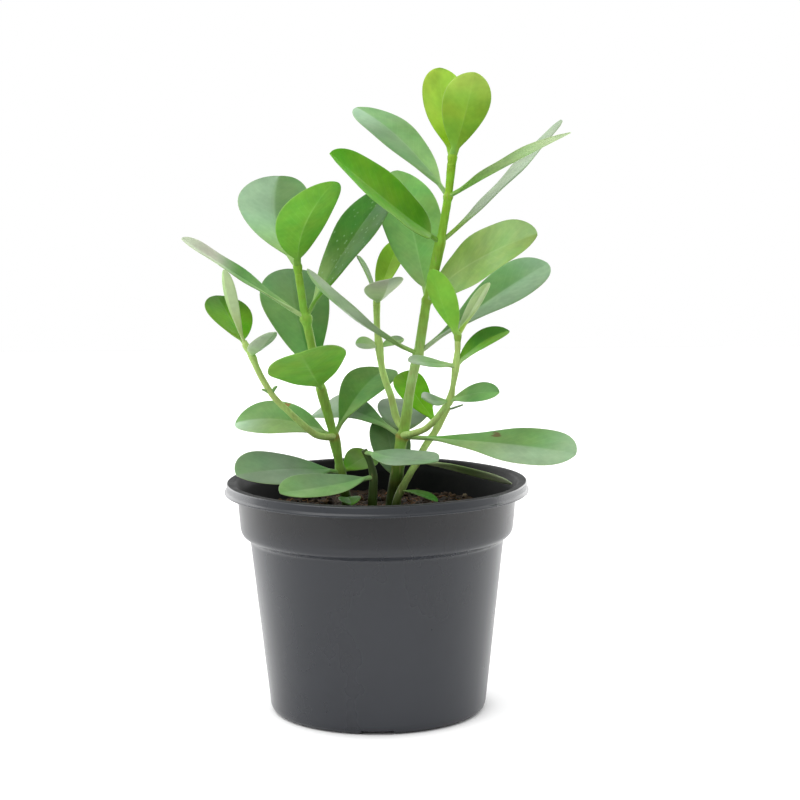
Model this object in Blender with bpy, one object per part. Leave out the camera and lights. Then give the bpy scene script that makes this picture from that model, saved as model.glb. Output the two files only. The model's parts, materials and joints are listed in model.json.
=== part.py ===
"""Potted clusia: a small plant with thick oval leaves in a round plastic nursery pot.

Lengths in the tables are millimetres. X runs to the right, Y to the back, Z up; the pot stands on Z = 0
and its axis is the Z axis.
"""

import collections
import math

import bmesh
import bpy
from mathutils import Vector

MM = 0.001

# Pot
POT_STEPS = 60
RIM_TOP_Z = 115.5
SKIRT_RADIUS = 76.0
FLOOR_TOP_Z = 3.4
FLOOR_UNDER_Z = 2.2
DRAIN_HOLES = 6
DRAIN_RADIUS = 3.5
DRAIN_CIRCLE_RADIUS = 38.0
FOOT_NOTCHES = 4
NOTCH_WIDTH = 16.0
NOTCH_HEIGHT = 1.6
NOTCH_LENGTH = 8.0
NOTCH_RADIUS = 52.0
CUTTER_SIDES = 16
CUT_THROUGH = 2.0

# Potting mix
GAP = 0.3
SOIL_TOP_Z = 98.5
SOIL_STEPS = 36
SOIL_RINGS = 6
SOIL_HOLE_CLEARANCE = 0.4
SOIL_HOLE_BOTTOM_Z = 74.0
SOIL_SWELL = 0.7
SOIL_RIPPLE = 0.4

# Plant
STEM_SIDES = 8
STEM_FOOT_Z = 75.0
NEAR_FOOT = 6.0
BLADE_THICKNESS = 0.8
PETIOLE_THICKNESS = 2.2
PETIOLE_HALF_WIDTH = 1.3
PETIOLE_SHARE = 0.1
PETIOLE_WIDTH_SHARE = 0.1
THIN_FROM_SHARE = 0.2
CUP_POWER = 1.3
TIP_HALF_WIDTH = 0.6
TIP_ROUNDING = 0.6
BLADE_ROWS = (0.0, 0.14, 0.32, 0.52, 0.72, 0.89, 1.0)
COLUMNS_PER_HALF = 2

COLOURS = {
    "pot_plastic": (0.055, 0.060, 0.066, 1.0),
    "potting_mix": (0.045, 0.026, 0.014, 1.0),
    "leaf_mature": (0.16, 0.30, 0.10, 1.0),
    "leaf_young": (0.30, 0.52, 0.08, 1.0),
}

# The outline of the pot in the XZ plane, from the inner side of the lip over the top, down the outside,
# under the foot and floor, and back up the inside.
POT_PROFILE = [
    (70.8, 115.2),
    (71.6, RIM_TOP_Z),
    (74.2, RIM_TOP_Z),
    (74.9, 115.0),
    (75.2, 111.8),
    (SKIRT_RADIUS, 111.0),
    (SKIRT_RADIUS, 110.2),
    (74.9, 109.9),
    (73.9, 113.8),
    (72.3, 114.1),
    (71.2, 113.5),
    (70.3, 112.2),
    (69.7, 110.4),
    (68.3, 93.0),
    (67.7, 90.6),
    (66.6, 89.3),
    (64.8, 88.6),
    (63.5, 87.4),
    (54.3, 3.2),
    (53.6, 1.2),
    (52.2, 0.0),
    (50.2, 0.0),
    (49.4, FLOOR_UNDER_Z),
    (0.0, FLOOR_UNDER_Z),
    (0.0, FLOOR_TOP_Z),
    (51.6, FLOOR_TOP_Z),
    (52.9, 5.0),
    (62.2, 88.0),
    (62.8, 89.4),
    (65.2, 90.3),
    (66.5, 91.5),
    (67.0, 93.4),
    (68.3, 109.0),
    (69.2, 111.8),
    (70.2, 114.5),
]

# The side of the potting mix, from its upper edge down.
SOIL_SIDE = [
    (67.0, SOIL_TOP_Z),
    (66.6, 93.6),
    (65.8, 91.9),
    (62.7, 90.6),
    (61.8, 88.4),
    (52.4, 5.6),
    (51.2, FLOOR_TOP_Z + GAP),
]

Leaf = collections.namedtuple(
    "Leaf", "base tip width facing bow cup sweep widest", defaults=((0, 0, 1), 3, 3, 0, 0.62)
)

# Each stem is a list of points with the radius there.
STEMS = {
    "main_shoot": [
        (8.0, 2.0, STEM_FOOT_Z, 3.8),
        (8.0, 2.0, 100.0, 3.8),
        (10.6, 2.0, 121.0, 3.2),
        (12.3, 3.0, 134.0, 2.8),
        (13.0, 3.0, 136.5, 3.4),
        (13.8, 3.0, 139.0, 2.7),
        (17.5, 5.0, 162.4, 2.3),
        (20.6, 6.0, 176.0, 2.4),
        (21.2, 6.0, 178.0, 2.9),
        (21.8, 6.0, 180.5, 2.4),
        (25.2, 5.0, 202.5, 2.3),
        (25.8, 5.0, 204.6, 2.8),
        (26.5, 5.0, 207.0, 2.3),
        (32.4, 2.0, 233.5, 2.7),
        (33.3, 1.6, 238.0, 2.0),
        (36.0, 0.0, 254.0, 2.0),
        (36.3, 0.0, 256.0, 2.5),
        (36.7, 0.0, 258.5, 1.9),
        (38.1, -2.0, 272.5, 2.1),
    ],
    "main_tip": [
        (38.1, -2.0, 272.8, 2.1),
        (38.5, -2.0, 275.5, 2.4),
        (38.9, -2.2, 278.5, 1.6),
    ],
    "centre_side_shoot": [
        (13.6, 3.4, 140.5, 1.9),
        (10.2, 7.0, 145.5, 1.8),
        (7.6, 8.0, 156.0, 1.7),
        (5.0, 9.0, 163.5, 1.7),
        (3.0, 10.0, 171.0, 1.6),
        (1.8, 10.0, 181.0, 2.1),
        (0.8, 10.0, 191.5, 1.5),
        (0.7, 10.0, 204.0, 1.8),
        (0.8, 9.5, 206.5, 1.2),
    ],
    "right_side_shoot": [
        (13.6, 1.6, 137.4, 2.0),
        (18.3, -6.0, 139.6, 1.7),
        (24.2, -12.0, 142.6, 1.6),
        (29.1, -16.0, 147.6, 1.6),
        (33.0, -18.0, 152.8, 1.6),
        (36.1, -20.0, 157.5, 2.0),
        (37.9, -21.0, 165.4, 1.3),
        (39.3, -22.0, 174.9, 1.9),
        (40.1, -22.0, 182.7, 1.4),
        (40.2, -22.0, 187.0, 1.5),
    ],
    "right_side_tip": [
        (40.2, -22.0, 187.3, 1.5),
        (40.2, -22.0, 190.0, 1.9),
        (40.3, -22.0, 192.5, 1.2),
    ],
    "left_shoot": [
        (-15.0, 8.0, STEM_FOOT_Z, 2.5),
        (-15.0, 8.0, 100.0, 2.5),
        (-17.5, 8.0, 116.0, 2.4),
        (-18.2, 8.0, 118.5, 2.8),
        (-18.9, 8.0, 123.3, 2.1),
        (-21.2, 7.0, 136.1, 2.8),
        (-22.0, 7.0, 139.5, 2.1),
        (-27.2, 5.0, 160.0, 2.6),
        (-28.0, 5.0, 163.5, 2.1),
        (-33.6, 4.0, 192.0, 2.1),
        (-34.4, 4.0, 196.4, 3.2),
        (-35.2, 3.8, 199.5, 1.9),
        (-37.8, 3.0, 218.7, 1.9),
    ],
    "left_tip": [
        (-37.8, 3.0, 219.0, 1.9),
        (-38.2, 3.0, 222.3, 2.3),
        (-38.4, 2.9, 225.0, 1.4),
    ],
    "left_side_shoot": [
        (-21.3, 6.2, 136.6, 1.8),
        (-24.8, 1.0, 137.0, 1.8),
        (-30.0, -2.5, 138.8, 1.8),
        (-36.0, -5.0, 144.0, 1.7),
        (-42.5, -8.0, 150.7, 1.6),
        (-50.0, -10.5, 158.8, 1.6),
        (-55.7, -12.0, 168.5, 1.6),
        (-58.3, -14.0, 174.5, 1.6),
        (-59.9, -15.0, 179.0, 2.0),
        (-61.7, -15.0, 182.0, 1.5),
        (-63.2, -15.0, 185.0, 1.8),
        (-63.8, -15.0, 187.2, 1.1),
    ],
    "back_shoot": [
        (9.0, -9.5, STEM_FOOT_Z, 1.8),
        (9.0, -9.5, 101.0, 1.8),
        (9.8, -9.2, 106.0, 1.8),
        (12.2, -8.4, 111.4, 2.0),
        (14.9, -5.0, 116.0, 1.7),
        (17.8, -1.0, 120.4, 1.7),
        (20.9, 4.0, 124.6, 2.0),
        (23.4, 8.0, 129.1, 1.7),
        (25.7, 11.0, 132.4, 1.7),
        (29.0, 13.5, 136.6, 1.7),
        (31.1, 15.0, 140.2, 1.9),
        (34.2, 16.0, 145.7, 1.6),
        (36.8, 17.0, 149.6, 1.3),
    ],
    "low_shoot": [
        (-2.0, -12.0, STEM_FOOT_Z, 2.2),
        (-2.0, -12.0, 106.0, 2.2),
        (-1.4, -12.0, 119.0, 2.0),
        (-3.0, -12.0, 126.4, 1.6),
        (-5.9, -12.0, 132.4, 1.5),
    ],
}

LEAVES = {
    "main_shoot": [
        Leaf((36.3, 0, 256), (-9, 38, 300), 26.5, facing=(0, -0.25, 1), bow=5, cup=1, widest=0.62),
        Leaf((36.3, 0, 256), (93, -38, 287), 26, facing=(0, -0.08, 1), bow=0.5, cup=2),
        Leaf(
            (32.4, 2, 233.5), (-20.5, -34, 278), 28.5,
            facing=(0, -0.85, 1), bow=0, cup=5, sweep=-1.5, widest=0.48,
        ),
        Leaf((32.4, 2, 233.5), (93, 12, 293), 30, bow=-2, cup=1),
        Leaf((25.8, 5, 204.6), (11.5, 48, 268), 33, bow=2, cup=2, widest=0.57),
        Leaf((25.8, 5, 204.6), (77.5, -40, 239.5), 36, facing=(0, -1, 1), bow=5, cup=2, widest=0.5),
        Leaf((21.2, 6, 178), (-32, -30, 223), 20, facing=(0, -0.05, 1), bow=-4.5, cup=1),
        Leaf((21.2, 6, 178), (87, 20, 221.5), 32, facing=(0, -0.45, 1), bow=2, cup=2, widest=0.74),
        Leaf((13, 3, 136.5), (97, -32, 132.7), 36, facing=(0, -0.42, 1), bow=1.5, cup=1, widest=0.75),
        Leaf((13, 3, 136.5), (-37, 59, 137.5), 25, facing=(-0.3, -0.35, 1), bow=11, cup=2, widest=0.68),
        Leaf((13, 3, 136.5), (16.5, 58, 148), 29, bow=4, cup=2, widest=0.52),
        Leaf((9.7, 2, 114), (3.5, 24, 143.5), 21, bow=2, cup=2, widest=0.55),
    ],
    "main_tip": [
        Leaf((38.5, -2, 275.5), (32, 12, 319), 24, bow=-2, cup=3),
        Leaf((38.5, -2, 275.5), (49, -16, 316), 24, facing=(-0.2, 1, 0.2), bow=-2, cup=3),
    ],
    "centre_side_shoot": [
        Leaf((1.8, 10, 181), (-10, 7, 183), 8, facing=(0, -1, 1), bow=1, cup=1),
        Leaf((1.8, 10, 181), (14, 16, 184.5), 7, facing=(0, -0.6, 1), bow=0, cup=1),
        Leaf((0.7, 10, 204), (7, -18, 217), 20, facing=(-0.2, 0, 1), bow=-2, cup=3),
        Leaf((0.7, 10, 204), (-9, 6, 227), 9, facing=(1, -0.2, 0.3), bow=1, cup=1),
        Leaf((0.7, 10, 204), (13, 38, 233), 14, bow=1, cup=2),
    ],
    "right_side_shoot": [
        Leaf((36.1, -20, 157.5), (60, -32, 163), 12, facing=(0, -1, 1), bow=2, cup=1),
        Leaf((36.1, -20, 157.5), (22.5, -34, 161), 9, facing=(0, -1, 1), bow=-1, cup=1),
        Leaf((39.3, -22, 174.9), (16, -32, 178.5), 13, facing=(0, -0.35, 1), bow=0, cup=1),
        Leaf((39.3, -22, 174.9), (65.5, -14, 191), 14, facing=(0, -0.4, 1), bow=3, cup=2, widest=0.58),
    ],
    "right_side_tip": [
        Leaf((40.2, -22, 190), (28, -38, 223), 15.5, facing=(0.5, 0.8, 0.4), bow=-2, cup=2, widest=0.58),
        Leaf((40.2, -22, 190), (56, -6, 214), 14, facing=(-1, -0.5, 0.5), bow=0, cup=1),
    ],
    "left_shoot": [
        Leaf((-34.4, 4, 196.4), (-94, -10, 237), 24, facing=(0, -0.22, 1), bow=-0.5, cup=2, widest=0.64),
        Leaf(
            (-34.4, 4, 196.4), (8, 23, 260), 35,
            facing=(0, -0.15, 1), bow=4, cup=2, sweep=2.5, widest=0.66,
        ),
        Leaf((-27.2, 5, 160.8), (-34.5, -56, 185.4), 39, facing=(-0.3, 0, 1), bow=0, cup=2),
        Leaf((-27.2, 5, 160.8), (-44, 46, 218), 37, bow=4, cup=3, sweep=-5, widest=0.67),
        Leaf((-21.2, 7, 136.1), (-71, 14, 142.5), 28, facing=(0, -0.55, 1), bow=6, cup=2),
        Leaf((-21.2, 7, 136.1), (5, 45, 166), 28, facing=(0, -0.15, 1), bow=5, cup=2, widest=0.7),
        Leaf((-17.9, 8, 118), (-68, -24, 122), 33.5, facing=(0, -0.45, 1), bow=2.5, cup=2, widest=0.66),
        Leaf((-17.9, 8, 118), (-2, 24, 124.5), 17, facing=(0, -0.8, 1), bow=1, cup=1),
        Leaf((-15.4, 8, 104), (-12, -24, 107), 11, facing=(0, -0.3, 1), bow=2, cup=1),
    ],
    "left_tip": [
        Leaf((-38.2, 3, 222.3), (-19, -30, 264.6), 29, bow=0, cup=3, sweep=6, widest=0.55),
        Leaf((-38.2, 3, 222.3), (-49.4, 48, 265.4), 37, bow=2, cup=3, sweep=-7, widest=0.6),
    ],
    "left_side_shoot": [
        Leaf((-60.8, -15, 180.3), (-47.8, -40, 193.6), 11, bow=-1, cup=2, widest=0.45),
        Leaf((-63.2, -15, 185), (-78.5, 2, 208), 26, bow=0, cup=2, widest=0.6),
        Leaf((-63.2, -15, 185), (-72, -30, 223), 7.5, bow=0, cup=2, sweep=2),
    ],
    "back_shoot": [
        Leaf(
            (31.1, 15, 140.2), (12, 28, 165.5), 17,
            facing=(0, -0.8, 1), bow=4, cup=2, sweep=-2, widest=0.66,
        ),
        Leaf((36.0, 16.7, 148.4), (44, 15, 151), 5, bow=0, cup=0),
        Leaf((20.9, 4, 124.6), (67, -12, 114.8), 18, facing=(0, 0.45, 1), bow=0, cup=1),
        Leaf((12.2, -8.4, 111.4), (30, -27, 109), 5, facing=(0, -0.4, 1), bow=1, cup=1),
    ],
    "low_shoot": [
        Leaf((-1.4, -12, 119), (-46, -40, 116), 24, facing=(0, -0.4, 1), bow=-1, cup=2),
        Leaf((-5.4, -12, 131.2), (30, -40, 131), 21, facing=(0, -0.3, 1), bow=-1, cup=1, widest=0.56),
    ],
}

# Side shoots and the stem that each one grows from.
PARENTS = {
    "centre_side_shoot": "main_shoot",
    "right_side_shoot": "main_shoot",
    "left_side_shoot": "left_shoot",
}

SLOTS = {
    "pot": "pot_plastic",
    "soil": "potting_mix",
    "main_tip": "leaf_young",
    "right_side_tip": "leaf_young",
    "left_tip": "leaf_young",
}


def clear_scene():
    for obj in list(bpy.data.objects):
        bpy.data.objects.remove(obj, do_unlink=True)


def material(name):
    found = bpy.data.materials.get(name)
    if found:
        return found
    made = bpy.data.materials.new(name)
    made.use_nodes = True
    shader = made.node_tree.nodes["Principled BSDF"]
    shader.inputs["Base Color"].default_value = COLOURS[name]
    shader.inputs["Roughness"].default_value = 0.45
    return made


def add_mesh(name, points, faces, smooth=True):
    """A mesh object from points in millimetres, with its faces turned outward."""
    mesh = bpy.data.meshes.new(name)
    mesh.from_pydata([Vector(point) * MM for point in points], [], faces)
    shape = bmesh.new()
    shape.from_mesh(mesh)
    bmesh.ops.recalc_face_normals(shape, faces=shape.faces)
    shape.to_mesh(mesh)
    shape.free()
    for face in mesh.polygons:
        face.use_smooth = smooth
    obj = bpy.data.objects.new(name, mesh)
    bpy.context.scene.collection.objects.link(obj)
    return obj


def boolean(target, others, operation, solver="EXACT"):
    """Joins or cuts target with others, keeps the result as its mesh and removes the others."""
    group = bpy.data.collections.new("operands")
    bpy.context.scene.collection.children.link(group)
    for other in others:
        bpy.context.scene.collection.objects.unlink(other)
        group.objects.link(other)
    modifier = target.modifiers.new("boolean", "BOOLEAN")
    modifier.operand_type = "COLLECTION"
    modifier.collection = group
    modifier.operation = operation
    modifier.solver = solver
    bpy.context.view_layer.update()
    graph = bpy.context.evaluated_depsgraph_get()
    result = bpy.data.meshes.new_from_object(target.evaluated_get(graph))
    target.modifiers.remove(modifier)
    target.data = result
    for other in others:
        bpy.data.objects.remove(other, do_unlink=True)
    bpy.data.collections.remove(group)


def revolved(name, profile, steps):
    """Turns a closed outline of (radius, height) points round the Z axis."""
    points = []
    rings = []
    for radius, height in profile:
        if radius == 0:
            rings.append([len(points)] * steps)
            points.append((0, 0, height))
            continue
        rings.append([len(points) + i for i in range(steps)])
        for i in range(steps):
            angle = 2 * math.pi * i / steps
            points.append((radius * math.cos(angle), radius * math.sin(angle), height))
    faces = []
    for k, ring in enumerate(rings):
        below = rings[(k + 1) % len(rings)]
        for i in range(steps):
            j = (i + 1) % steps
            corners = [ring[i], ring[j], below[j], below[i]]
            corners = list(dict.fromkeys(corners))
            if len(corners) > 2:
                faces.append(corners)
    return add_mesh(name, points, faces)


def cylinder(name, centre, radius, low, high):
    points = []
    sides = CUTTER_SIDES
    for height in (low, high):
        for i in range(sides):
            angle = 2 * math.pi * i / sides
            x = centre[0] + radius * math.cos(angle)
            y = centre[1] + radius * math.sin(angle)
            points.append((x, y, height))
    faces = [[i, (i + 1) % sides, sides + (i + 1) % sides, sides + i] for i in range(sides)]
    faces.append(list(range(sides)))
    faces.append(list(range(sides, 2 * sides)))
    return add_mesh(name, points, faces)


def box(name, centre, along, across, low, high):
    """A block with its long side along the given unit vector."""
    side = Vector((-along[1], along[0], 0))
    along = Vector(along)
    points = []
    for height in (low, high):
        for a, b in ((-1, -1), (1, -1), (1, 1), (-1, 1)):
            corner = Vector(centre) + along * a * across[0] / 2 + side * b * across[1] / 2
            points.append((corner.x, corner.y, height))
    faces = [[0, 1, 2, 3], [4, 5, 6, 7], [0, 1, 5, 4], [1, 2, 6, 5], [2, 3, 7, 6], [3, 0, 4, 7]]
    return add_mesh(name, points, faces)


def build_pot():
    pot = revolved("pot", POT_PROFILE, POT_STEPS)
    cutters = []
    for i in range(DRAIN_HOLES):
        angle = 2 * math.pi * (i + 0.5) / DRAIN_HOLES
        centre = (DRAIN_CIRCLE_RADIUS * math.cos(angle), DRAIN_CIRCLE_RADIUS * math.sin(angle))
        cutters.append(cylinder("drain", centre, DRAIN_RADIUS, -CUT_THROUGH, FLOOR_TOP_Z + CUT_THROUGH))
    for i in range(FOOT_NOTCHES):
        angle = 2 * math.pi * i / FOOT_NOTCHES
        outward = (math.cos(angle), math.sin(angle), 0)
        centre = Vector(outward) * NOTCH_RADIUS
        size = (NOTCH_LENGTH, NOTCH_WIDTH)
        cutters.append(box("notch", centre, outward, size, -CUT_THROUGH, NOTCH_HEIGHT))
    boolean(pot, cutters, "DIFFERENCE")
    return pot


def soil_height(x, y):
    """The lumpy top of the potting mix."""
    lumps = SOIL_SWELL * math.sin(0.19 * x + 0.8) * math.cos(0.16 * y - 0.4)
    return SOIL_TOP_Z + lumps + SOIL_RIPPLE * math.sin(0.31 * x - 0.27 * y)


def build_soil():
    points = [(0, 0, soil_height(0, 0))]
    rings = []
    edge_radius = SOIL_SIDE[0][0]
    for k in range(1, SOIL_RINGS + 1):
        radius = edge_radius * k / SOIL_RINGS
        ring = []
        for i in range(SOIL_STEPS):
            angle = 2 * math.pi * i / SOIL_STEPS
            x, y = radius * math.cos(angle), radius * math.sin(angle)
            ring.append(len(points))
            points.append((x, y, soil_height(x, y) if k < SOIL_RINGS else SOIL_TOP_Z))
        rings.append(ring)
    for radius, height in SOIL_SIDE[1:]:
        ring = []
        for i in range(SOIL_STEPS):
            angle = 2 * math.pi * i / SOIL_STEPS
            ring.append(len(points))
            points.append((radius * math.cos(angle), radius * math.sin(angle), height))
        rings.append(ring)
    faces = []
    for i in range(SOIL_STEPS):
        faces.append([0, rings[0][i], rings[0][(i + 1) % SOIL_STEPS]])
    for inner, outer in zip(rings, rings[1:]):
        for i in range(SOIL_STEPS):
            j = (i + 1) % SOIL_STEPS
            faces.append([inner[i], outer[i], outer[j]])
            faces.append([inner[i], outer[j], inner[j]])
    faces.append(rings[-1])
    soil = add_mesh("soil", points, faces)
    holes = []
    for stem in STEMS.values():
        x, y, z, radius = stem[0]
        if z == STEM_FOOT_Z:
            centre = (x, y)
            holes.append(
                cylinder("hole", centre, radius + SOIL_HOLE_CLEARANCE, SOIL_HOLE_BOTTOM_Z, RIM_TOP_Z)
            )
    boolean(soil, holes, "DIFFERENCE")
    return soil


def stem_mesh(name, stem, grow=0.0):
    """A tube through the points of a stem, closed at both ends."""
    centres = [Vector(point[:3]) for point in stem]
    points = []
    side = Vector((1, 0, 0))
    for k, (x, y, z, radius) in enumerate(stem):
        ahead = centres[min(k + 1, len(stem) - 1)] - centres[max(k - 1, 0)]
        if k == 0 and z == STEM_FOOT_Z:
            ahead = Vector((0, 0, 1))
        ahead.normalize()
        side = (side - ahead * side.dot(ahead)).normalized()
        other = ahead.cross(side)
        for i in range(STEM_SIDES):
            angle = 2 * math.pi * i / STEM_SIDES
            points.append(
                centres[k] + (side * math.cos(angle) + other * math.sin(angle)) * (radius + grow)
            )
    faces = []
    for k in range(len(stem) - 1):
        for i in range(STEM_SIDES):
            j = (i + 1) % STEM_SIDES
            low, high = k * STEM_SIDES, (k + 1) * STEM_SIDES
            faces.append([low + i, low + j, high + j, high + i])
    faces.append(list(range(STEM_SIDES)))
    last = (len(stem) - 1) * STEM_SIDES
    faces.append(list(range(last, last + STEM_SIDES)))
    return add_mesh(name, points, faces)


def blade_share(share, widest):
    """How wide the blade is, as a share of its full width, at a share of its length."""
    power = 2 * TIP_ROUNDING * widest**2 / (1 - widest**2)
    full = widest**power * (1 - widest**2) ** TIP_ROUNDING
    return share**power * (1 - share**2) ** TIP_ROUNDING / full


def leaf_rows(leaf, rows=BLADE_ROWS, halves=COLUMNS_PER_HALF, grow=0.0):
    """Rows of (point, normal, thickness) across the leaf, from the stem to its tip."""
    base = Vector(leaf.base)
    chord = Vector(leaf.tip) - base
    length = chord.length
    along = chord.normalized()
    normal = Vector(leaf.facing)
    normal = (normal - along * normal.dot(along)).normalized()
    side = along.cross(normal)
    stalk = min(PETIOLE_HALF_WIDTH, leaf.width * PETIOLE_WIDTH_SHARE)
    stalk_thickness = PETIOLE_THICKNESS * stalk / PETIOLE_HALF_WIDTH
    found = []
    for share in (None,) + tuple(rows):
        s = 0.0 if share is None else PETIOLE_SHARE + (1 - PETIOLE_SHARE) * share
        arch = 4 * s * (1 - s)
        centre = base + along * length * s + normal * leaf.bow * arch + side * leaf.sweep * arch
        slope = 4 * leaf.bow * (1 - 2 * s) / length
        up = (normal - along * slope).normalized()
        half = leaf.width / 2 * blade_share(share or 0.0, leaf.widest)
        least = TIP_HALF_WIDTH if share == 1.0 else stalk
        lift = leaf.cup * half / (leaf.width / 2)
        half = max(half, least) + grow
        thinned = min(1.0, (share or 0.0) / THIN_FROM_SHARE)
        thickness = stalk_thickness * (1 - thinned) + BLADE_THICKNESS * thinned + 2 * grow
        row = []
        for j in range(-halves, halves + 1):
            u = j / halves
            point = centre + side * half * u + up * lift * abs(u) ** CUP_POWER
            row.append((point, up, thickness))
        found.append(row)
    return found


def leaf_mesh(name, leaf, grow=0.0):
    rows = leaf_rows(leaf, grow=grow)
    wide = len(rows[0])
    points = [point + up * thick / 2 for row in rows for point, up, thick in row]
    points += [point - up * thick / 2 for row in rows for point, up, thick in row]
    under = wide * len(rows)
    faces = []
    for k in range(len(rows) - 1):
        for j in range(wide - 1):
            a = k * wide + j
            b, c, d = a + 1, a + wide + 1, a + wide
            for corner in ((a, b, c), (a, c, d)):
                faces.append(list(corner))
                faces.append([under + i for i in reversed(corner)])
        for edge in (k * wide, k * wide + wide - 1):
            faces.append([edge, edge + wide, under + edge + wide])
            faces.append([edge, under + edge + wide, under + edge])
    for start in (0, (len(rows) - 1) * wide):
        for j in range(wide - 1):
            a = start + j
            faces.append([a, a + 1, under + a + 1, under + a])
    return add_mesh(name, points, faces)


def build_shoot(name):
    shoot = stem_mesh(name, STEMS[name])
    leaves = [leaf_mesh(f"{name}_leaf", leaf) for leaf in LEAVES[name]]
    boolean(shoot, leaves, "UNION")
    if name in PARENTS:
        parent = PARENTS[name]
        foot = Vector(STEMS[name][0][:3])
        clearance = [stem_mesh("clearance", STEMS[parent], grow=GAP)]
        for leaf in LEAVES[parent]:
            if (Vector(leaf.base) - foot).length < NEAR_FOOT:
                clearance.append(leaf_mesh("clearance", leaf, grow=GAP))
        boolean(shoot, clearance, "DIFFERENCE")
    return shoot


def main():
    clear_scene()
    nodes = [build_pot(), build_soil()]
    nodes += [build_shoot(name) for name in STEMS]
    for node in nodes:
        node.data.materials.clear()
        node.data.materials.append(material(SLOTS.get(node.name, "leaf_mature")))


main()
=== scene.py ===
import collections
import json
import math
import random

import bmesh
import bpy
from mathutils import Matrix, Vector, noise

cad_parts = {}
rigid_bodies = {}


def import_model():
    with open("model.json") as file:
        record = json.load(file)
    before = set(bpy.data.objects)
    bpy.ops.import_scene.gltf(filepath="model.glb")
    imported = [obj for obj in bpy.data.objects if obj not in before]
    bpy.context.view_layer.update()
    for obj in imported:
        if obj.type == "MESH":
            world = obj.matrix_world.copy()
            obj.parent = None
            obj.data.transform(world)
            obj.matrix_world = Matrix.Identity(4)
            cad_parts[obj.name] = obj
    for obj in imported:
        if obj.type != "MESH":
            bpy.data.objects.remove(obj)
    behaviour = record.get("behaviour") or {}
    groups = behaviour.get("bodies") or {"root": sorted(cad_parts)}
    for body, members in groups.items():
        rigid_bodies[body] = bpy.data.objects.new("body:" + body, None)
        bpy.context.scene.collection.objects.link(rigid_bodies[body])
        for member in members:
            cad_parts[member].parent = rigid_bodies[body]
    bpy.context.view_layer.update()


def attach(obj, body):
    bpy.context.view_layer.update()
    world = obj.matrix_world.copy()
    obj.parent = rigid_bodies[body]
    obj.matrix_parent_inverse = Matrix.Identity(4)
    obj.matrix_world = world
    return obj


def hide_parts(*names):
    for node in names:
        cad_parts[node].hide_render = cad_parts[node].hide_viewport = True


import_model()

# The part is measured in millimetres; materials, camera and studio in metres.
MM = 0.001
UP = Vector((0, 0, 1))
# Random turns are drawn from 0 up to this.
RANDOM_TURN = 6.28

# Pot
POT_STEPS = 240
RIM_TOP_Z = 115.5
SKIRT_RADIUS = 76.0
FLOOR_TOP_Z = 3.4
FLOOR_UNDER_Z = 2.2
DRAIN_HOLES = 6
DRAIN_RADIUS = 3.5
DRAIN_CIRCLE_RADIUS = 38.0
DRAIN_SIDES = 32
FOOT_NOTCHES = 4
NOTCH_WIDTH = 16.0
NOTCH_HEIGHT = 1.6
NOTCH_INNER = 48
NOTCH_OUTER = 56
CUT_THROUGH = 2
CORNER_SHARE = 0.45
CORNER_STEPS = 4
SHARP_DEGREES = 40
LIP_TOP_Z = 114
# The thin wall is a little uneven from FLEX_FROM_Z up. For each wave: how many go round, size, phase.
FLEX_FROM_Z = 88
FLEX_HEIGHT = 26
FLEX_WAVES = ((3, 0.16, 0.6), (7, 0.1, 0.0))
LIFT_WAVE = (5, 0.12, 1.1)

# Potting mix
SOIL_TOP_Z = 98.5
SOIL_CELL = 1.3
SOIL_STEPS = 180
SOIL_SWELL = 0.7
SOIL_RIPPLE = 0.4
# Height, seed and fineness of the lumps.
SOIL_LUMPS = ((1.5, 3.0, 0.22), (0.9, 7.0, 0.6))
CRUMBS = 620
CRUMB_SIZES = (0.5, 0.7, 0.9, 1.2, 1.7)
CRUMB_REACH = 64.5
CRUMB_SUNK = 0.25
CRUMB_BUMPS = 0.45
PALE_CRUMBS = 0.02
FIBRES = 150
FIBRE_SIDES = 5
FIBRE_START_REACH = 60
FIBRE_REACH = 64
FIBRE_PULL_BACK = 0.96
FIBRE_TAPER = 0.6

# Plant
STEM_FOOT_Z = 75.0
# How far a young tip starts above its stem.
GAP = 0.3
STEM_RING_STEP = 1.2
STEM_SIDES = 20
STEM_ROUGHNESS = 0.05
STEM_FLATNESS = 0.04
SCAR_WIDTH = 1.3
TIP_OVERLAP = 1.5
TIP_INSET = 0.15
TIP_FOOT_WIDTH = 1.6
BLADE_THICKNESS = 0.8
PETIOLE_THICKNESS = 2.2
PETIOLE_HALF_WIDTH = 1.3
PETIOLE_WIDTH_SHARE = 0.1
PETIOLE_SHARE = 0.1
PETIOLE_ROWS = [-1.0, -0.75, -0.5, -0.25]
TIP_ROUNDING = 0.6
THIN_FROM_SHARE = 0.2
FOOT_TONE_SHARE = 0.2
CUP_POWER = 1.3
LEAF_ROWS = 30
LEAF_COLUMNS = (0.0, 0.03, 0.08, 0.2, 0.35, 0.5, 0.65, 0.78, 0.88, 0.95, 0.985, 1.0)
LEAST_HALF_WIDTH = 0.12
EDGE_SKIN = 0.12
END_SHARE = 0.97
END_THICKNESS = 0.6
RIPPLE_LENGTH = 34
RIPPLES = (0.2, 0.55)
RIPPLE_FULL_WIDTH = 25
RIB_HEIGHT = 0.5
RIB_WIDTH = 0.9
GROOVE_DEPTH = 0.2
GROOVE_WIDTH = 0.7

# Where the tone of a stem changes, and over what height it does. The dark foot of each stem and the
# whole low shoot are painted shade.
DARK_FOOT_Z = {"back_shoot": 104, "left_shoot": 107}
DARK_FOOT_USUAL_Z = 112
DARK_FOOT_FADE = 22
LOW_SHOOT_FOOT_Z = 104
LOW_SHOOT_FADE = 14
YOUNG_STEM_Z = 190
YOUNG_STEM_FADE = 70
PALE_STEM_Z = 168
PALE_STEM_REACH = 18
SCARRED_FROM_Z = 130
SCARRED_TO_Z = 145

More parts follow.
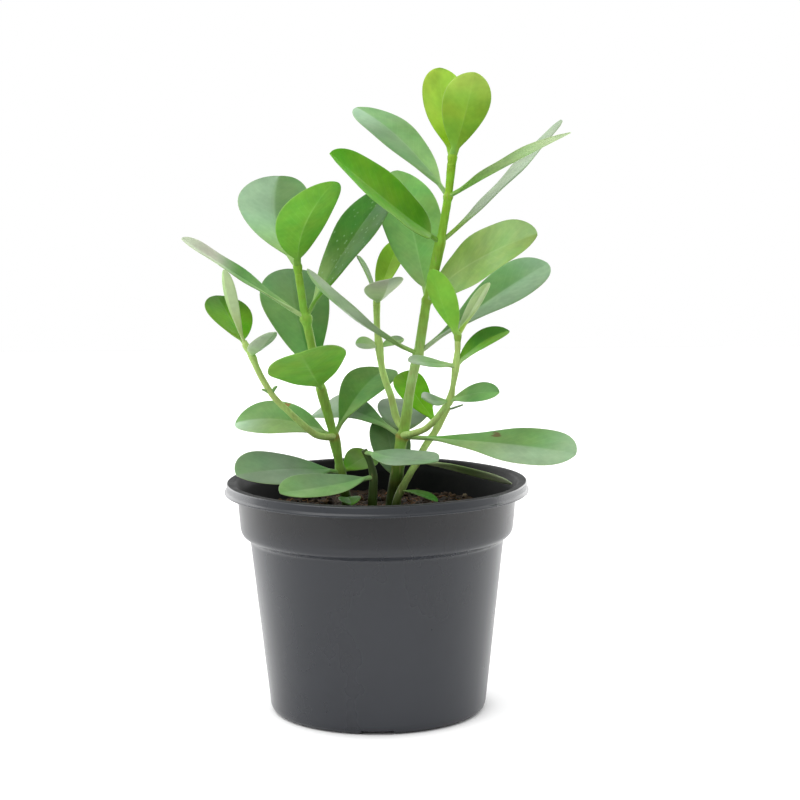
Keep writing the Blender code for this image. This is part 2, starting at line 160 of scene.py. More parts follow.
# Studio
FRONT_LIGHT = 0.6
BACK_LIGHT = 1.15
LIGHT_FADE = (-0.7, 0.3)
FLOOR_FRONT = -0.34
FLOOR_BACK = 1.7
FLOOR_CELLS = 8
STAGE_DROP = 0.0004
LIGHT_TARGET = (0.0, 0.0, 0.15)
# Name, place, size and power of each light.
LIGHTS = (
    ("key", (-0.8, -1.0, 1.5), 1.8, 22.0),
    ("left_panel", (-1.35, 1.15, 0.5), 1.9, 26.0),
    ("right_panel", (1.35, 1.15, 0.5), 1.9, 26.0),
)
CAMERA_PLACE = (0.012, -1.043, 0.291)
CAMERA_TILT = 82.6
CAMERA_ROLL = -0.4
CAMERA_LENS = 95.175
SENSOR_WIDTH = 36.0

# How each tone looks in the studio light; GLARE and EXPOSURE turn it into the colour of the material.
# Many leaf tones hold painted light and shade, the blue-green and grey ones a painted sheen, and the
# two darkest stem tones are painted shade.
TONES = {
    "lime": "#B6DE5C",
    "lime_low": "#92C131",
    "vivid": "#78BA31",
    "keen": "#7CC23A",
    "bright": "#6BAB33",
    "shade": "#568F2C",
    "grass": "#76AC3E",
    "leafy": "#649150",
    "soft": "#98BE76",
    "sage": "#8AAC64",
    "mid": "#79A862",
    "fresh": "#8FC86E",
    "deep": "#548A3D",
    "dark": "#41623A",
    "slate": "#6E8867",
    "moss": "#6F9362",
    "glaucous": "#9FC29C",
    "grey": "#A3B59A",
    "blush": "#BDBFAE",
    "pale": "#C2D7A4",
    "milk": "#F2FFD6",
    "cream": "#CFDCBF",
    "stem": "#8DB854",
    "shoot": "#B4D27C",
    "young_stem": "#97C944",
    "stem_in_shade": "#3A4822",
    "shaded_dim_stem": "#50643E",
    "meadow": "#6E9E52",
    "haze": "#94B38A",
    "mint": "#AACB88",
    "forest": "#44742E",
    "pine": "#3C6230",
    "ivy": "#5F8B45",
    "fern": "#8AAC58",
    "fog": "#809A7A",
    "tan": "#A9764A",
    "brown": "#6B4A2C",
}
GLARE = 0.018
EXPOSURE = 1.17
LEAST_COLOUR = 0.002

# Share of specular light on waxy, plain and soft leaves and on stems, pot and mix.
WAXY_GLOSS = 0.2
PLAIN_GLOSS = 0.06
SOFT_GLOSS = 0.02
STEM_GLOSS = 0.12
POT_GLOSS = 0.5
INSIDE_GLOSS = 0.15
MIX_GLOSS = 0.25
FLOOR_GLOSS = 0.1

# Colours of the materials themselves, some with painted light and shade: sheen and rim light on the
# leaves, shade just below the pot's skirt, a highlight on its lip, and the darker inside of the pot.
PAINTED_SHEEN = (0.33, 0.42, 0.34)
MARGIN_RIM_LIGHT = (0.36, 0.46, 0.20)
LEAF_SPECKS = (0.24, 0.38, 0.19)
STEM_DOTS = (0.36, 0.30, 0.14)
PLASTIC_DARK = (0.010, 0.0122, 0.0175)
PLASTIC_LIGHT = (0.0145, 0.0172, 0.024)
PLASTIC_COLLAR_SHADE = (0.002, 0.0025, 0.0045)
PLASTIC_LIP_HIGHLIGHT = (0.028, 0.031, 0.036)
INSIDE_DARK = (0.006, 0.007, 0.008)
INSIDE_LIGHT = (0.012, 0.012, 0.012)
INSIDE_DUST = (0.035, 0.028, 0.022)
MIX_DARK = (0.007, 0.005, 0.004)
MIX_LIGHT = (0.045, 0.027, 0.016)
MIX_GRAIN = (0.12, 0.075, 0.045)
CRUMB_DARK = Vector((0.012, 0.008, 0.006))
CRUMB_WARM = Vector((0.13, 0.07, 0.035))
CRUMB_PALE = Vector((0.17, 0.13, 0.09))
FIBRE_RUST = Vector((0.33, 0.14, 0.045))
FIBRE_HUSK = Vector((0.12, 0.07, 0.035))
PAPER_LOW = (0.93, 0.93, 0.93)
PAPER_HIGH = (0.95, 0.95, 0.95)

# The outline of the pot, all round the section of its wall: radius and height.
POT_PROFILE = [
    (70.8, 115.2), (71.6, RIM_TOP_Z), (74.2, RIM_TOP_Z), (74.9, 115), (75.2, 111.8),
    (SKIRT_RADIUS, 111), (SKIRT_RADIUS, 110.2), (74.9, 109.9), (73.9, 113.8), (72.3, 114.1),
    (71.2, 113.5), (70.3, 112.2), (69.7, 110.4), (68.3, 93), (67.8, 90.8), (66.9, 89.4),
    (65.4, 88.3), (63.9, 87.1), (63.35, 86), (54.3, 3.2), (53.6, 1.2), (52.2, 0), (50.2, 0),
    (49.4, FLOOR_UNDER_Z), (0, FLOOR_UNDER_Z), (0, FLOOR_TOP_Z), (51.6, FLOOR_TOP_Z), (52.9, 5),
    (62.2, 88), (62.8, 89.4), (65.2, 90.3), (66.5, 91.5), (67, 93.4), (68.3, 109), (69.2, 111.8),
    (70.2, 114.5),
]

# The side of the mix, from its top down: radius and height.
SOIL_SIDE = [
    (67, SOIL_TOP_Z), (66.6, 93.6), (65.8, 91.9), (62.7, 90.6), (61.8, 88.4), (52.4, 5.6),
    (51.2, 3.7),
]

# A leaf runs from base to tip. Bow lifts its middle, cup lifts its sides, sweep bends it sideways;
# widest is where along the blade it is widest.
Leaf = collections.namedtuple(
    "Leaf", "base tip width facing bow cup sweep widest", defaults=((0, 0, 1), 0, 2, 0, 0.62)
)

# Each stem is a list of points with the radius there: x, y, z, radius.
STEMS = {
    "main_shoot": [
        (8, 2, STEM_FOOT_Z, 3.8), (8, 2, 100, 3.8), (10.6, 2, 121, 3.2), (12.3, 3, 134, 2.8),
        (13, 3, 136.5, 3.4), (13.8, 3, 139, 2.7), (17.5, 5, 162.4, 2.3), (20.6, 6, 176, 2.4),
        (21.2, 6, 178, 2.9), (21.8, 6, 180.5, 2.4), (25.2, 5, 202.5, 2.3), (25.8, 5, 204.6, 2.8),
        (26.5, 5, 207, 2.3), (32.4, 2, 233.5, 2.7), (33.3, 1.6, 238, 2), (36, 0, 254, 2),
        (36.3, 0, 256, 2.5), (36.7, 0, 258.5, 1.9), (38.1, -2, 272.5, 2.1),
    ],
    "main_tip": [
        (38.1, -2, 272.5 + GAP, 2.1), (38.5, -2, 275.5, 2.4), (38.9, -2.2, 278.5, 1.6),
    ],
    "centre_side_shoot": [
        (13.6, 3.4, 140.5, 1.9), (10.2, 7, 145.5, 1.8), (7.6, 8, 156, 1.7), (5, 9, 163.5, 1.7),
        (3, 10, 171, 1.6), (1.8, 10, 181, 2.1), (0.8, 10, 191.5, 1.5), (0.7, 10, 204, 1.8),
        (0.8, 9.5, 206.5, 1.2),
    ],
    "right_side_shoot": [
        (13.6, 1.6, 137.4, 2), (18.3, -6, 139.6, 1.7), (24.2, -12, 142.6, 1.6),
        (29.1, -16, 147.6, 1.6), (33, -18, 152.8, 1.6), (36.1, -20, 157.5, 2),
        (37.9, -21, 165.4, 1.3), (39.3, -22, 174.9, 1.9), (40.1, -22, 182.7, 1.4),
        (40.2, -22, 187, 1.5),
    ],
    "right_side_tip": [
        (40.2, -22, 187.0 + GAP, 1.5), (40.2, -22, 190, 1.9), (40.3, -22, 192.5, 1.2),
    ],
    "left_shoot": [
        (-15, 8, STEM_FOOT_Z, 2.5), (-15, 8, 100, 2.5), (-17.5, 8, 116, 2.4),
        (-18.2, 8, 118.5, 2.8), (-18.9, 8, 123.3, 2.1), (-21.2, 7, 136.1, 2.8),
        (-22, 7, 139.5, 2.1), (-27.2, 5, 160, 2.6), (-28, 5, 163.5, 2.1), (-33.6, 4, 192, 2.1),
        (-34.4, 4, 196.4, 3.2), (-35.2, 3.8, 199.5, 1.9), (-37.8, 3, 218.7, 1.9),
    ],
    "left_tip": [
        (-37.8, 3, 218.7 + GAP, 1.9), (-38.2, 3, 222.3, 2.3), (-38.4, 2.9, 225, 1.4),
    ],
    "left_side_shoot": [
        (-21.3, 6.2, 136.6, 1.8), (-24.8, 1, 137, 1.8), (-30, -2.5, 138.8, 1.8),
        (-36, -5, 144, 1.7), (-42.5, -8, 150.7, 1.6), (-50, -10.5, 158.8, 1.6),
        (-55.7, -12, 168.5, 1.6), (-58.3, -14, 174.5, 1.6), (-59.9, -15, 179, 2),
        (-61.7, -15, 182, 1.5), (-63.2, -15, 185, 1.8), (-63.8, -15, 187.2, 1.1),
    ],
    "back_shoot": [
        (9, -9.5, STEM_FOOT_Z, 1.8), (9, -9.5, 101, 1.8), (9.8, -9.2, 106, 1.8),
        (12.2, -8.4, 111.4, 2), (14.9, -5, 116, 1.7), (17.8, -1, 120.4, 1.7), (20.9, 4, 124.6, 2),
        (23.4, 8, 129.1, 1.7), (25.7, 11, 132.4, 1.7), (29, 13.5, 136.6, 1.7),
        (31.1, 15, 140.2, 1.9), (34.2, 16, 145.7, 1.6), (36.8, 17, 149.6, 1.3),
    ],
    "low_shoot": [
        (-2, -12, STEM_FOOT_Z, 2.2), (-2, -12, 106, 2.2), (-1.4, -12, 119, 2),
        (-3, -12, 126.4, 1.6), (-5.9, -12, 132.4, 1.5),
    ],
}

LEAVES = {
    "main_shoot": [
        Leaf((36.3, 0, 256), (-9, 38, 300), 26.5, facing=(0, -0.25, 1), bow=5, cup=1),
        Leaf((36.3, 0, 256), (93, -38, 287), 26, facing=(0, -0.08, 1), bow=0.5),
        Leaf((32.4, 2, 233.5), (-20.5, -34, 278), 28.5, facing=(0, -0.85, 1), cup=5,
            sweep=-1.5, widest=0.48),
        Leaf((32.4, 2, 233.5), (93, 12, 293), 30, bow=-2, cup=1),
        Leaf((25.8, 5, 204.6), (11.5, 48, 268), 33, bow=2, widest=0.57),
        Leaf((25.8, 5, 204.6), (77.5, -40, 239.5), 36, facing=(0, -1, 1), bow=5, widest=0.5),
        Leaf((21.2, 6, 178), (-32, -30, 223), 20, facing=(0, -0.05, 1), bow=-4.5, cup=1),
        Leaf((21.2, 6, 178), (87, 20, 221.5), 32, facing=(0, -0.45, 1), bow=2, widest=0.74),
        Leaf((13, 3, 136.5), (97, -32, 132.7), 36, facing=(0, -0.42, 1), bow=1.5, cup=1, widest=0.75),
        Leaf((13, 3, 136.5), (-37, 59, 137.5), 25, facing=(-0.3, -0.35, 1), bow=11, widest=0.68),
        Leaf((13, 3, 136.5), (16.5, 58, 148), 29, bow=4, widest=0.52),
        Leaf((9.7, 2, 114), (3.5, 24, 143.5), 21, bow=2, widest=0.55),
    ],
    "main_tip": [
        Leaf((38.5, -2, 275.5), (32, 12, 319), 24, bow=-2, cup=3),
        Leaf((38.5, -2, 275.5), (49, -16, 316), 24, facing=(-0.2, 1, 0.2), bow=-2, cup=3),
    ],
    "centre_side_shoot": [
        Leaf((1.8, 10, 181), (-10, 7, 183), 8, facing=(0, -1, 1), bow=1, cup=1),
        Leaf((1.8, 10, 181), (14, 16, 184.5), 7, facing=(0, -0.6, 1), cup=1),
        Leaf((0.7, 10, 204), (7, -18, 217), 20, facing=(-0.2, 0, 1), bow=-2, cup=3),
        Leaf((0.7, 10, 204), (-9, 6, 227), 9, facing=(1, -0.2, 0.3), bow=1, cup=1),
        Leaf((0.7, 10, 204), (13, 38, 233), 14, bow=1),
    ],
    "right_side_shoot": [
        Leaf((36.1, -20, 157.5), (60, -32, 163), 12, facing=(0, -1, 1), bow=2, cup=1),
        Leaf((36.1, -20, 157.5), (22.5, -34, 161), 9, facing=(0, -1, 1), bow=-1, cup=1),
        Leaf((39.3, -22, 174.9), (16, -32, 178.5), 13, facing=(0, -0.35, 1), cup=1),
        Leaf((39.3, -22, 174.9), (65.5, -14, 191), 14, facing=(0, -0.4, 1), bow=3, widest=0.58),
    ],
    "right_side_tip": [
        Leaf((40.2, -22, 190), (28, -38, 223), 15.5, facing=(0.5, 0.8, 0.4), bow=-2, widest=0.58),
        Leaf((40.2, -22, 190), (56, -6, 214), 14, facing=(-1, -0.5, 0.5), cup=1),
    ],
    "left_shoot": [
        Leaf((-34.4, 4, 196.4), (-94, -10, 237), 24, facing=(0, -0.22, 1), bow=-0.5, widest=0.64),
        Leaf((-34.4, 4, 196.4), (8, 23, 260), 35, facing=(0, -0.15, 1), bow=4, sweep=2.5, widest=0.66),
        Leaf((-27.2, 5, 160.8), (-34.5, -56, 185.4), 39, facing=(-0.3, 0, 1)),
        Leaf((-27.2, 5, 160.8), (-44, 46, 218), 37, bow=4, cup=3, sweep=-5, widest=0.67),
        Leaf((-21.2, 7, 136.1), (-71, 14, 142.5), 28, facing=(0, -0.55, 1), bow=6),
        Leaf((-21.2, 7, 136.1), (5, 45, 166), 28, facing=(0, -0.15, 1), bow=5, widest=0.7),
        Leaf((-17.9, 8, 118), (-68, -24, 122), 33.5, facing=(0, -0.45, 1), bow=2.5, widest=0.66),
        Leaf((-17.9, 8, 118), (-2, 24, 124.5), 17, facing=(0, -0.8, 1), bow=1, cup=1),
        Leaf((-15.4, 8, 104), (-12, -24, 107), 11, facing=(0, -0.3, 1), bow=2, cup=1),
    ],
    "left_tip": [
        Leaf((-38.2, 3, 222.3), (-19, -30, 264.6), 29, cup=3, sweep=6, widest=0.55),
        Leaf((-38.2, 3, 222.3), (-49.4, 48, 265.4), 37, bow=2, cup=3, sweep=-7, widest=0.6),
    ],
    "left_side_shoot": [
        Leaf((-60.8, -15, 180.3), (-47.8, -40, 193.6), 11, bow=-1, widest=0.45),
        Leaf((-63.2, -15, 185), (-78.5, 2, 208), 26, widest=0.6),
        Leaf((-63.2, -15, 185), (-72, -30, 223), 7.5, sweep=2),
    ],
    "back_shoot": [
        Leaf((31.1, 15, 140.2), (12, 28, 165.5), 17, facing=(0, -0.8, 1), bow=4, sweep=-2, widest=0.66),
        Leaf((36.0, 16.7, 148.4), (44, 15, 151), 5, cup=0),
        Leaf((20.9, 4, 124.6), (67, -12, 114.8), 18, facing=(0, 0.45, 1), cup=1),
        Leaf((12.2, -8.4, 111.4), (30, -27, 109), 5, facing=(0, -0.4, 1), bow=1, cup=1),
    ],
    "low_shoot": [
        Leaf((-1.4, -12, 119), (-46, -40, 116), 24, facing=(0, -0.4, 1), bow=-1),
        Leaf((-5.4, -12, 131.2), (30, -40, 131), 21, facing=(0, -0.3, 1), bow=-1, cup=1, widest=0.56),
    ],
}

# Small dry scales on a stem.
SCALES = {
    "left_side_shoot": [
        Leaf((-51.0, -10.8, 160.4), (-48.2, -13, 164.6), 2.4, bow=0.3, cup=0.3),
        Leaf((-51.4, -10.8, 160.4), (-56.0, -12, 162.8), 2.2, bow=0.3, cup=0.3),
    ],
}
SCALE_LOOK = ("mid mid", "mid mid", 0, 0)

# For each leaf: the tones of its two halves, from the stem to the tip, how waxy it is, with -1 for a
# soft blade that shows little of its veins, and how speckled. The tones paint light and shade: a half
# or blade turned from the light is painted darker, one turned to it paler, and the blue-green and grey
# tones are painted sheen. How waxy a leaf is also sets how much painted sheen it shows.
LOOKS = {
    "main_shoot": [
        ("mid moss glaucous", "soft mid mid", 0.3, 0.3),
        ("grass mid soft pale", "grass soft pale", -1, 0),
        ("bright bright bright", "shade bright bright", 0, 0),
        ("grass grey grey grey grey", "grass grey grey grey grey", -1, 0),
        ("soft fresh fresh", "fresh fresh fresh", 0.1, 0.3),
        ("fern fern soft", "soft fern fern", 0.1, 0),
        ("grass grey grey", "grass grey soft", 0.2, 0),
        ("moss mid mid glaucous", "grey glaucous glaucous", 0.2, 0.2),
        ("grass meadow meadow haze", "soft sage haze haze", 0.1, 0),
        ("mid moss slate", "leafy moss slate", 0.2, 0),
        ("slate slate slate", "slate slate slate", 0.3, 0),
        ("slate moss leafy", "slate moss leafy", 0, 0),
    ],
    "main_tip": [
        ("lime_low lime lime", "lime_low lime lime", -1, 0),
        ("lime_low lime_low lime", "vivid lime_low lime", -1, 0),
    ],
    "centre_side_shoot": [
        ("pale grey", "pale soft", 0.2, 0),
        ("soft grey", "soft soft", 0.2, 0),
        ("soft pale grey", "soft pale blush", 0.2, 0),
        ("pale soft soft", "pale grey soft", 0.2, 0),
        ("lime lime lime", "lime lime lime_low", 0, 0),
    ],
    "right_side_shoot": [
        ("sage leafy leafy", "soft leafy mid", 0.1, 0),
        ("soft leafy leafy", "soft moss grey", 0.2, 0),
        ("soft mid grey", "soft mid grey", 0.2, 0),
        ("grass deep deep", "soft grass grass", 0, 0),
    ],
    "right_side_tip": [
        ("vivid vivid vivid", "vivid vivid vivid", -1, 0),
        ("soft milk milk", "lime milk milk", 0, 0),
    ],
    "left_shoot": [
        ("pale soft mid cream cream", "soft mid leafy blush cream", -1, 0),
        ("soft forest forest", "shade forest pine", 0, 1),
        ("keen keen grass", "keen keen grass", 0, 0),
        ("mid mid moss", "shade leafy moss", 0.1, 0.2),
        ("soft sage glaucous", "mid mid mid", 0.1, 0.4),
        ("ivy ivy ivy", "sage leafy leafy", 0, 0.2),
        ("deep slate slate", "deep slate moss", 0.2, 0),
        ("bright sage grass", "grass sage deep", 0, 0),
        ("dark shade", "dark deep", 0, 0),
    ],
    "left_tip": [
        ("keen keen keen", "keen keen vivid", 0, 0),
        ("soft glaucous glaucous", "mid leafy leafy", 0.2, 0),
    ],
    "left_side_shoot": [
        ("mid moss grey", "soft grey grey", 0.2, 0),
        ("grass grass ivy", "vivid grass ivy", 0, 0.2),
        ("shoot pale pale", "pale mint mint", 0, 0),
    ],
    "back_shoot": [
        ("keen keen grass", "keen keen grass", 0, 0),
        ("slate slate", "slate slate", 0, 0),
        ("soft soft soft", "pale soft milk", 0, 0),
        ("leafy deep", "leafy deep", 0, 0),
    ],
    "low_shoot": [
        ("mid mid mid", "moss moss mid", 0.2, 0.3),
        ("moss fog fog", "mid fog moss", 0.2, 0),
    ],
}

# Small marks on single blades: place, radius and tone.
MARKS = [
    ((59.5, -9.7, 139.3), 2.6, "brown"),
    ((-45.0, 15.9, 151.2), 2.0, "tan"),
]


def clamp(value):
    return max(0.0, min(1.0, value))


def around(radius, angle):
    """x and y of a point at a radius and an angle."""
    return radius * math.cos(angle), radius * math.sin(angle)


def linear(code):
    """A #RRGGBB code as linear red, green and blue."""
    shares = [int(code[i : i + 2], 16) / 255 for i in (1, 3, 5)]
    return Vector([c / 12.92 if c <= 0.04045 else ((c + 0.055) / 1.055) ** 2.4 for c in shares])


def tone(name):
    return Vector([max((c - GLARE) / EXPOSURE, LEAST_COLOUR) for c in linear(TONES[name])])


# Materials


class Surface:
    """A material under construction: each call adds a node and returns its output socket."""

    def __init__(self, name):
        self.material = bpy.data.materials.new(name)
        self.material.use_nodes = True
        self.tree = self.material.node_tree
        self.shader = self.tree.nodes["Principled BSDF"]
        self.place = self.add("TexCoord").outputs["Object"]

    def add(self, kind, settings=None, inputs=None):
        made = self.tree.nodes.new("ShaderNode" + kind)
        for key, value in (settings or {}).items():
            setattr(made, key, value)
        for key, value in (inputs or {}).items():
            self.put(made.inputs[key], value)
        return made

    def put(self, socket, value):
        if isinstance(value, bpy.types.NodeSocket):
            self.tree.links.new(value, socket)
        elif socket.type == "RGBA" and len(value) == 3:
            socket.default_value = (*value, 1.0)
        else:
            socket.default_value = value

    def noise(self, scale, detail=3.0, roughness=0.5, where=None):
        inputs = {
            "Vector": where or self.place,
            "Scale": scale,
            "Detail": detail,
            "Roughness": roughness,
        }
        return self.add("TexNoise", None, inputs).outputs["Fac"]

    def spots(self, scale, where=None):
        """The distance to the nearest of many scattered points."""
        inputs = {"Vector": where or self.place, "Scale": scale, "Randomness": 1.0}
        return self.add("TexVoronoi", None, inputs).outputs["Distance"]

    def stretched(self, upright):
        """Coordinates that change slowly with height, for streaks that run up and down."""
        inputs = {"Vector": self.place, "Scale": (1.0, 1.0, upright)}
        return self.add("Mapping", None, inputs).outputs[0]

    def math(self, operation, a, b=0.0):
        return self.add("Math", {"operation": operation}, {0: a, 1: b}).outputs[0]

    def times(self, a, b):
        return self.math("MULTIPLY", a, b)

    def between(self, value, low, high, to_low=0.0, to_high=1.0):
        """Value taken smoothly from the range low..high to the range to_low..to_high."""
        inputs = {0: value, 1: low, 2: high, 3: to_low, 4: to_high}
        return self.add("MapRange", {"interpolation_type": "SMOOTHSTEP"}, inputs).outputs[0]

    def spread(self, field, low=0.0, high=1.0):
        """A noise field, which lies mostly between 0.3 and 0.7, taken to the range low..high."""
        return self.between(field, 0.3, 0.7, low, high)

    def mix(self, share, a, b):
        return self.add("Mix", {"data_type": "RGBA"}, {0: share, 6: a, 7: b}).outputs[2]

    def attribute(self, name):
        return self.add("Attribute", {"attribute_name": name})

    def vary(self, colour, hue, value, saturation=1.0):
        inputs = {"Hue": hue, "Saturation": saturation, "Value": value, "Color": colour}
        return self.add("HueSaturation", None, inputs).outputs[0]

    def mottle(self, colour, field, hues, values, reach=0.2):
        """Hue and value that follow a noise field; reach is how far from 0.5 the values spread."""
        hue = self.spread(field, *hues)
        return self.vary(colour, hue, self.between(field, 0.5 - reach, 0.5 + reach, *values))

    def mark(self, colour, ragged, centre, radius, tint):
        """A small ragged patch round a place given in millimetres."""
        size = radius * MM
        where = {0: self.place, 1: tuple(Vector(centre) * MM)}
        away = self.add("VectorMath", {"operation": "DISTANCE"}, where).outputs["Value"]
        away = self.math("ADD", away, self.spread(ragged, -0.4 * size, 0.4 * size))
        return self.mix(self.between(away, 0.6 * size, 1.1 * size, 0.8, 0.0), colour, tint)

    def bump(self, height, strength, distance):
        inputs = {"Strength": strength, "Distance": distance, "Height": height}
        self.put(self.shader.inputs["Normal"], self.add("Bump", None, inputs).outputs[0])

    def finish(self, colour, roughness, specular):
        self.put(self.shader.inputs["Base Color"], colour)
        self.put(self.shader.inputs["Roughness"], roughness)
        self.shader.inputs["Specular IOR Level"].default_value = specular
        return self.material


def leaf_surface(name, gloss, veining=1.0, relief=0.3):
    made = Surface(name)
    colour = made.attribute("tone").outputs["Color"]
    blade = made.add("SeparateXYZ", None, {0: made.attribute("blade").outputs["Vector"]})
    share = blade.outputs[0]
    edge = made.math("ABSOLUTE", blade.outputs[1])
    wax = made.attribute("wax").outputs["Fac"]
    speckled = made.attribute("speck").outputs["Fac"]

    fine = made.noise(420, 3, 0.5)
    colour = made.mottle(colour, made.noise(38, 3, 0.55), (0.49, 0.51), (0.84, 1.14), reach=0.25)
    colour = made.mottle(colour, made.noise(105, 2, 0.5), (0.506, 0.494), (0.95, 1.06))
    colour = made.vary(colour, 0.5, made.spread(fine, 0.97, 1.03))

    # Painted sheen: pale grey-green patches, stronger on waxier blades.
    sheen_patches = made.between(made.noise(26, 4, 0.6), 0.35, 0.65, 0.1, 0.5)
    colour = made.mix(made.times(wax, sheen_patches), colour, PAINTED_SHEEN)

    # Side veins repeat along the blade and slant towards its tip; the midrib runs down the middle.
    line = made.math("SUBTRACT", made.times(share, 15.0), made.times(edge, 3.4))
    line = made.between(made.math("PINGPONG", line, 0.5), 0.0, 0.13, 1.0, 0.0)
    line = made.times(line, made.between(edge, 0.5, 0.95, 1.0, 0.0))
    rib = made.between(edge, 0.012, 0.055, 1.0, 0.0)
    rib = made.times(rib, made.between(share, 0.5, 1.0, 1.0, 0.25))
    side_veins = made.times(line, 0.14 * veining)
    veins = made.math("MAXIMUM", side_veins, made.times(rib, 0.42 * veining))
    colour = made.mix(veins, colour, made.vary(colour, 0.49, 1.28, 0.85))

    # Painted rim light: a pale band along the thin margin of every blade.
    margin = made.times(made.between(edge, 0.955, 0.99), 0.28)
    colour = made.mix(margin, colour, MARGIN_RIM_LIGHT)

    chosen = made.between(made.noise(120, 1), 0.46, 0.58)
    speck = made.times(made.between(made.spots(330), 0.08, 0.3, 1.0, 0.0), chosen)
    speck = made.times(speck, made.times(speckled, 0.42))
    colour = made.mix(speck, colour, LEAF_SPECKS)
    for centre, radius, tint in MARKS:
        colour = made.mark(colour, fine, centre, radius, tone(tint))

    dull = made.spread(made.noise(90, 3), 0.36, 0.5)
    roughness = made.math("ADD", dull, made.times(wax, 0.08))
    swell = made.times(made.noise(70, 1), 0.9)
    made.bump(made.math("SUBTRACT", swell, made.times(line, 0.2)), relief, 0.0002)
    return made.finish(colour, roughness, gloss)


def stem_surface():
    made = Surface("stem_bark")
    stretched = made.stretched(0.16)
    streaks = made.noise(900, 3, 0.6, where=stretched)
    blotch = made.noise(120, 3, 0.6)
    colour = made.attribute("tone").outputs["Color"]
    colour = made.mottle(colour, blotch, (0.485, 0.51), (0.84, 1.12), reach=0.25)
    colour = made.vary(colour, 0.5, made.spread(streaks, 0.9, 1.08))
    dots = made.between(made.spots(420, stretched), 0.08, 0.24, 1.0, 0.0)
    colour = made.mix(made.times(dots, 0.35), colour, STEM_DOTS)
    made.bump(made.math("ADD", streaks, made.times(blotch, 0.8)), 0.4, 0.0003)
    return made.finish(colour, made.spread(blotch, 0.42, 0.58), STEM_GLOSS)


def pot_surface():
    """Black plastic, darkest just below the skirt and paler on the lip: painted shade and a painted
    highlight.
    """
    made = Surface("pot_plastic_shell")
    cloud = made.noise(14, 4, 0.6)
    grain = made.noise(500, 1, 0.5)
    flow = made.noise(60, 3, 0.5, where=made.stretched(0.08))
    colour = made.mix(made.spread(cloud), PLASTIC_DARK, PLASTIC_LIGHT)
    height = made.add("SeparateXYZ", None, {0: made.place}).outputs[2]
    # Painted shade: darker from the step up to just under the skirt, standing in for the dimmer light it
    # reflects.
    collar_shade = made.between(height, 0.087, 0.102)
    collar_shade = made.times(collar_shade, made.between(height, 0.109, 0.1098, 1.0, 0.0))
    colour = made.mix(collar_shade, colour, PLASTIC_COLLAR_SHADE)
    # Painted highlight: paler from the skirt's lower edge up.
    colour = made.mix(made.between(height, 0.1092, 0.1099, 0.0, 0.75), colour, PLASTIC_LIP_HIGHLIGHT)
    roughness = made.spread(cloud, 0.24, 0.32)
    roughness = made.math("ADD", roughness, made.spread(flow, -0.015, 0.02))
    made.bump(grain, 0.04, 0.0001)
    return made.finish(colour, roughness, POT_GLOSS)


def pot_inside_shade_surface():
    """The inner wall and the top of the lip: the same plastic, darker and duller as painted shade, with
    dust from the mix.
    """
    made = Surface("pot_plastic_inside_shaded")
    cloud = made.noise(60, 4, 0.6)
    grain = made.noise(900, 3, 0.6)
    colour = made.mix(made.spread(cloud), INSIDE_DARK, INSIDE_LIGHT)
    colour = made.mix(made.between(grain, 0.6, 0.75, 0.0, 0.3), colour, INSIDE_DUST)
    made.bump(grain, 0.2, 0.0002)
    return made.finish(colour, made.spread(cloud, 0.5, 0.65), INSIDE_GLOSS)


def soil_surface():
    made = Surface("potting_mix_top")
    lump = made.noise(160, 6, 0.7)
    grain = made.noise(1400, 3, 0.7)
    colour = made.mix(made.between(lump, 0.35, 0.65), MIX_DARK, MIX_LIGHT)
    colour = made.mix(made.between(grain, 0.56, 0.68, 0.0, 0.6), colour, MIX_GRAIN)
    made.bump(made.math("ADD", made.times(grain, 0.6), lump), 0.8, 0.0012)
    return made.finish(colour, made.spread(grain, 0.78, 0.98), MIX_GLOSS)


def crumb_surface():
    made = Surface("mix_crumbs")
    grain = made.noise(1800, 4, 0.7)
    colour = made.mottle(made.attribute("tone").outputs["Color"], grain, (0.49, 0.51), (0.6, 1.35))
    made.bump(grain, 0.7, 0.0005)
    return made.finish(colour, made.spread(grain, 0.75, 0.95), MIX_GLOSS)


def stage_surface():
    """Matt paper that glows faintly outside the pot's foot, which keeps the shadow there soft."""
    made = Surface("studio_floor")
    paper = made.spread(made.noise(3.0, 2))
    away = made.add("VectorMath", {"operation": "LENGTH"}, {0: made.place}).outputs["Value"]
    made.shader.inputs["Emission Color"].default_value = (1.0, 1.0, 1.0, 1.0)
    made.put(made.shader.inputs["Emission Strength"], made.between(away, 0.052, 0.062, 0.0, 0.16))
    return made.finish(made.mix(paper, PAPER_LOW, PAPER_HIGH), 0.9, FLOOR_GLOSS)


# Meshes


# How point data that isn't one number is stored: type and field.
POINT_DATA = {"tone": ("FLOAT_COLOR", "color"), "blade": ("FLOAT_VECTOR", "vector")}


def opaque(tones):
    return [(*colour, 1.0) for colour in tones]


def new_mesh(name, points, faces):
    """A mesh from points in millimetres."""
    mesh = bpy.data.meshes.new(name)
    mesh.from_pydata([tuple(Vector(point) * MM) for point in points], [], faces)
    return mesh


def face_outward(mesh):
    shape = bmesh.new()
    shape.from_mesh(mesh)
    bmesh.ops.recalc_face_normals(shape, faces=shape.faces)
    shape.to_mesh(mesh)
    shape.free()


def add_object(name, content):
    obj = bpy.data.objects.new(name, content)
    bpy.context.scene.collection.objects.link(obj)
    return obj


